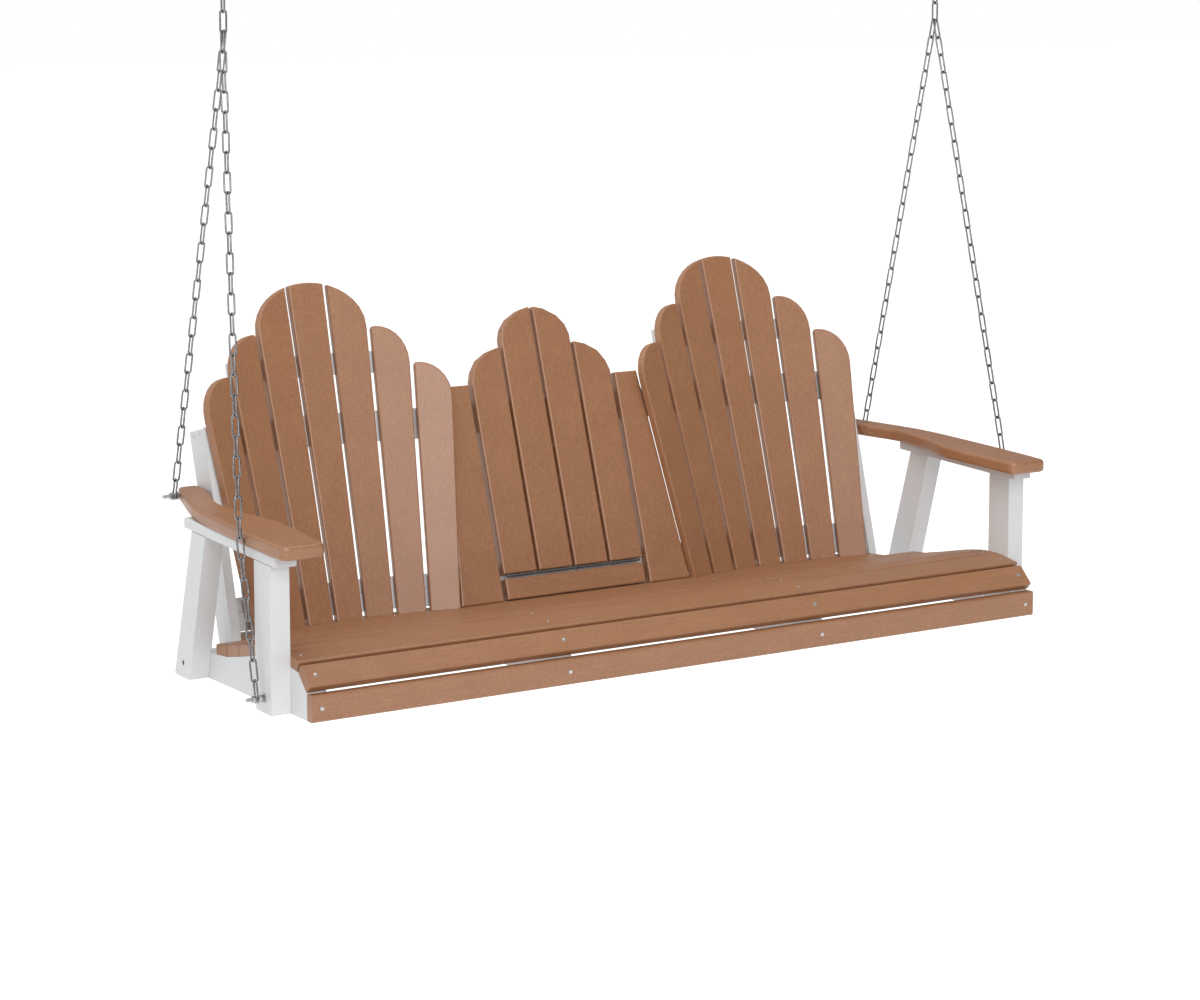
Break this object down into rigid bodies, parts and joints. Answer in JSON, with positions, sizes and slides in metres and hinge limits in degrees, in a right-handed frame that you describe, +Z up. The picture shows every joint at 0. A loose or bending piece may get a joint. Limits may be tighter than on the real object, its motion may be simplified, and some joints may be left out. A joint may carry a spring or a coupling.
{
  "type": "porch swing seat",
  "caption": "Hanging porch swing seat in brown and white poly lumber with fan backs, a fold-down centre console, armrests and steel chains to ceiling hooks.",
  "frame": {"origin": "middle of the line between the tops of the two ceiling hook plates, where they meet the ceiling", "axes": "+X along the seat to its right hand side as a viewer in front sees it, +Y to the back of the seat, +Z up"},
  "size_m": [1.89, 0.7206, 1.3917],
  "materials": {
    "apron": "cedar-brown poly lumber, fine satin grain",
    "arm_rail_left": "white poly lumber, fine satin grain",
    "arm_rail_right": "white poly lumber, fine satin grain",
    "armrest_left": "cedar-brown poly lumber, fine satin grain",
    "armrest_right": "cedar-brown poly lumber, fine satin grain",
    "back_upright_left": "white poly lumber, fine satin grain",
    "back_upright_right": "white poly lumber, fine satin grain",
    "ceiling_hook_left": "bright stainless, lightly brushed",
    "ceiling_hook_right": "bright stainless, lightly brushed",
    "chain_front_left": "bright stainless, lightly brushed",
    "chain_front_right": "bright stainless, lightly brushed",
    "chain_rear_left": "bright stainless, lightly brushed",
    "chain_rear_right": "bright stainless, lightly brushed",
    "console_base_board": "cedar-brown poly lumber, fine satin grain",
    "console_side_board_left": "cedar-brown poly lumber, fine satin grain",
    "console_side_board_right": "cedar-brown poly lumber, fine satin grain",
    "console_slat_a": "cedar-brown poly lumber, fine satin grain",
    "console_slat_b": "cedar-brown poly lumber, fine satin grain",
    "console_slat_c": "cedar-brown poly lumber, fine satin grain",
    "console_slat_d": "cedar-brown poly lumber, fine satin grain",
    "console_tray": "cedar-brown poly lumber, fine satin grain",
    "fan_left_slat_1": "cedar-brown poly lumber, fine satin grain",
    "fan_left_slat_2": "cedar-brown poly lumber, fine satin grain",
    "fan_left_slat_3": "cedar-brown poly lumber, fine satin grain",
    "fan_left_slat_4": "cedar-brown poly lumber, fine satin grain",
    "fan_left_slat_5": "cedar-brown poly lumber, fine satin grain",
    "fan_left_slat_6": "cedar-brown poly lumber, fine satin grain",
    "fan_left_slat_7": "cedar-brown poly lumber, fine satin grain",
    "fan_mid_rail_left": "white poly lumber, fine satin grain",
    "fan_mid_rail_right": "white poly lumber, fine satin grain",
    "fan_right_slat_1": "cedar-brown poly lumber, fine satin grain",
    "fan_right_slat_2": "cedar-brown poly lumber, fine satin grain",
    "fan_right_slat_3": "cedar-brown poly lumber, fine satin grain",
    "fan_right_slat_4": "cedar-brown poly lumber, fine satin grain",
    "fan_right_slat_5": "cedar-brown poly lumber, fine satin grain",
    "fan_right_slat_6": "cedar-brown poly lumber, fine satin grain",
    "fan_right_slat_7": "cedar-brown poly lumber, fine satin grain",
    "fan_top_rail_left": "white poly lumber, fine satin grain",
    "fan_top_rail_right": "white poly lumber, fine satin grain",
    "front_post_left": "white poly lumber, fine satin grain",
    "front_post_right": "white poly lumber, fine satin grain",
    "hanger_bolt_front_left": "bright stainless, lightly brushed",
    "hanger_bolt_front_right": "bright stainless, lightly brushed",
    "hanger_bolt_rear_left": "bright stainless, lightly brushed",
    "hanger_bolt_rear_right": "bright stainless, lightly brushed",
    "lower_back_rail": "white poly lumber, fine satin grain",
    "nose_slat": "cedar-brown poly lumber, fine satin grain",
    "rear_leg_left": "white poly lumber, fine satin grain",
    "rear_leg_right": "white poly lumber, fine satin grain",
    "seat_rib_left": "white poly lumber, fine satin grain",
    "seat_rib_right": "white poly lumber, fine satin grain",
    "seat_slat_1": "cedar-brown poly lumber, fine satin grain",
    "seat_slat_2": "cedar-brown poly lumber, fine satin grain",
    "seat_slat_3": "cedar-brown poly lumber, fine satin grain",
    "seat_slat_4": "cedar-brown poly lumber, fine satin grain",
    "seat_slat_5": "cedar-brown poly lumber, fine satin grain",
    "seat_slat_6": "cedar-brown poly lumber, fine satin grain",
    "seat_slat_7": "cedar-brown poly lumber, fine satin grain",
    "side_rail_left": "white poly lumber, fine satin grain",
    "side_rail_right": "white poly lumber, fine satin grain"
  },
  "bodies": {
    "ceiling": {"ceiling_hook_left": "ceiling_hook_left", "ceiling_hook_right": "ceiling_hook_right"},
    "swing": {"apron": "apron", "arm_rail_left": "arm_rail_left", "arm_rail_right": "arm_rail_right", "armrest_left": "armrest_left", "armrest_right": "armrest_right", "back_upright_left": "back_upright_left", "back_upright_right": "back_upright_right", "chain_front_left": "chain_front_left", "chain_front_right": "chain_front_right", "chain_rear_left": "chain_rear_left", "chain_rear_right": "chain_rear_right", "console_base_board": "console_base_board", "console_side_board_left": "console_side_board_left", "console_side_board_right": "console_side_board_right", "fan_left_slat_1": "fan_left_slat_1", "fan_left_slat_2": "fan_left_slat_2", "fan_left_slat_3": "fan_left_slat_3", "fan_left_slat_4": "fan_left_slat_4", "fan_left_slat_5": "fan_left_slat_5", "fan_left_slat_6": "fan_left_slat_6", "fan_left_slat_7": "fan_left_slat_7", "fan_mid_rail_left": "fan_mid_rail_left", "fan_mid_rail_right": "fan_mid_rail_right", "fan_right_slat_1": "fan_right_slat_1", "fan_right_slat_2": "fan_right_slat_2", "fan_right_slat_3": "fan_right_slat_3", "fan_right_slat_4": "fan_right_slat_4", "fan_right_slat_5": "fan_right_slat_5", "fan_right_slat_6": "fan_right_slat_6", "fan_right_slat_7": "fan_right_slat_7", "fan_top_rail_left": "fan_top_rail_left", "fan_top_rail_right": "fan_top_rail_right", "front_post_left": "front_post_left", "front_post_right": "front_post_right", "hanger_bolt_front_left": "hanger_bolt_front_left", "hanger_bolt_front_right": "hanger_bolt_front_right", "hanger_bolt_rear_left": "hanger_bolt_rear_left", "hanger_bolt_rear_right": "hanger_bolt_rear_right", "lower_back_rail": "lower_back_rail", "nose_slat": "nose_slat", "rear_leg_left": "rear_leg_left", "rear_leg_right": "rear_leg_right", "seat_rib_left": "seat_rib_left", "seat_rib_right": "seat_rib_right", "seat_slat_1": "seat_slat_1", "seat_slat_2": "seat_slat_2", "seat_slat_3": "seat_slat_3", "seat_slat_4": "seat_slat_4", "seat_slat_5": "seat_slat_5", "seat_slat_6": "seat_slat_6", "seat_slat_7": "seat_slat_7", "side_rail_left": "side_rail_left", "side_rail_right": "side_rail_right"},
    "console": {"console_slat_a": "console_slat_a", "console_slat_b": "console_slat_b", "console_slat_c": "console_slat_c", "console_slat_d": "console_slat_d", "console_tray": "console_tray"}
  },
  "joints": [
    {"name": "swing", "type": "hinge", "parent": "ceiling", "child": "swing", "pos_m": [0, 0, -0.042], "axis": [1, 0, 0], "range_deg": [-25, 25]},
    {"name": "console_fold", "type": "hinge", "parent": "swing", "child": "console", "pos_m": [0, 0.12115, -1.2644], "axis": [1, 0, 0], "range_deg": [0, 107]}
  ]
}
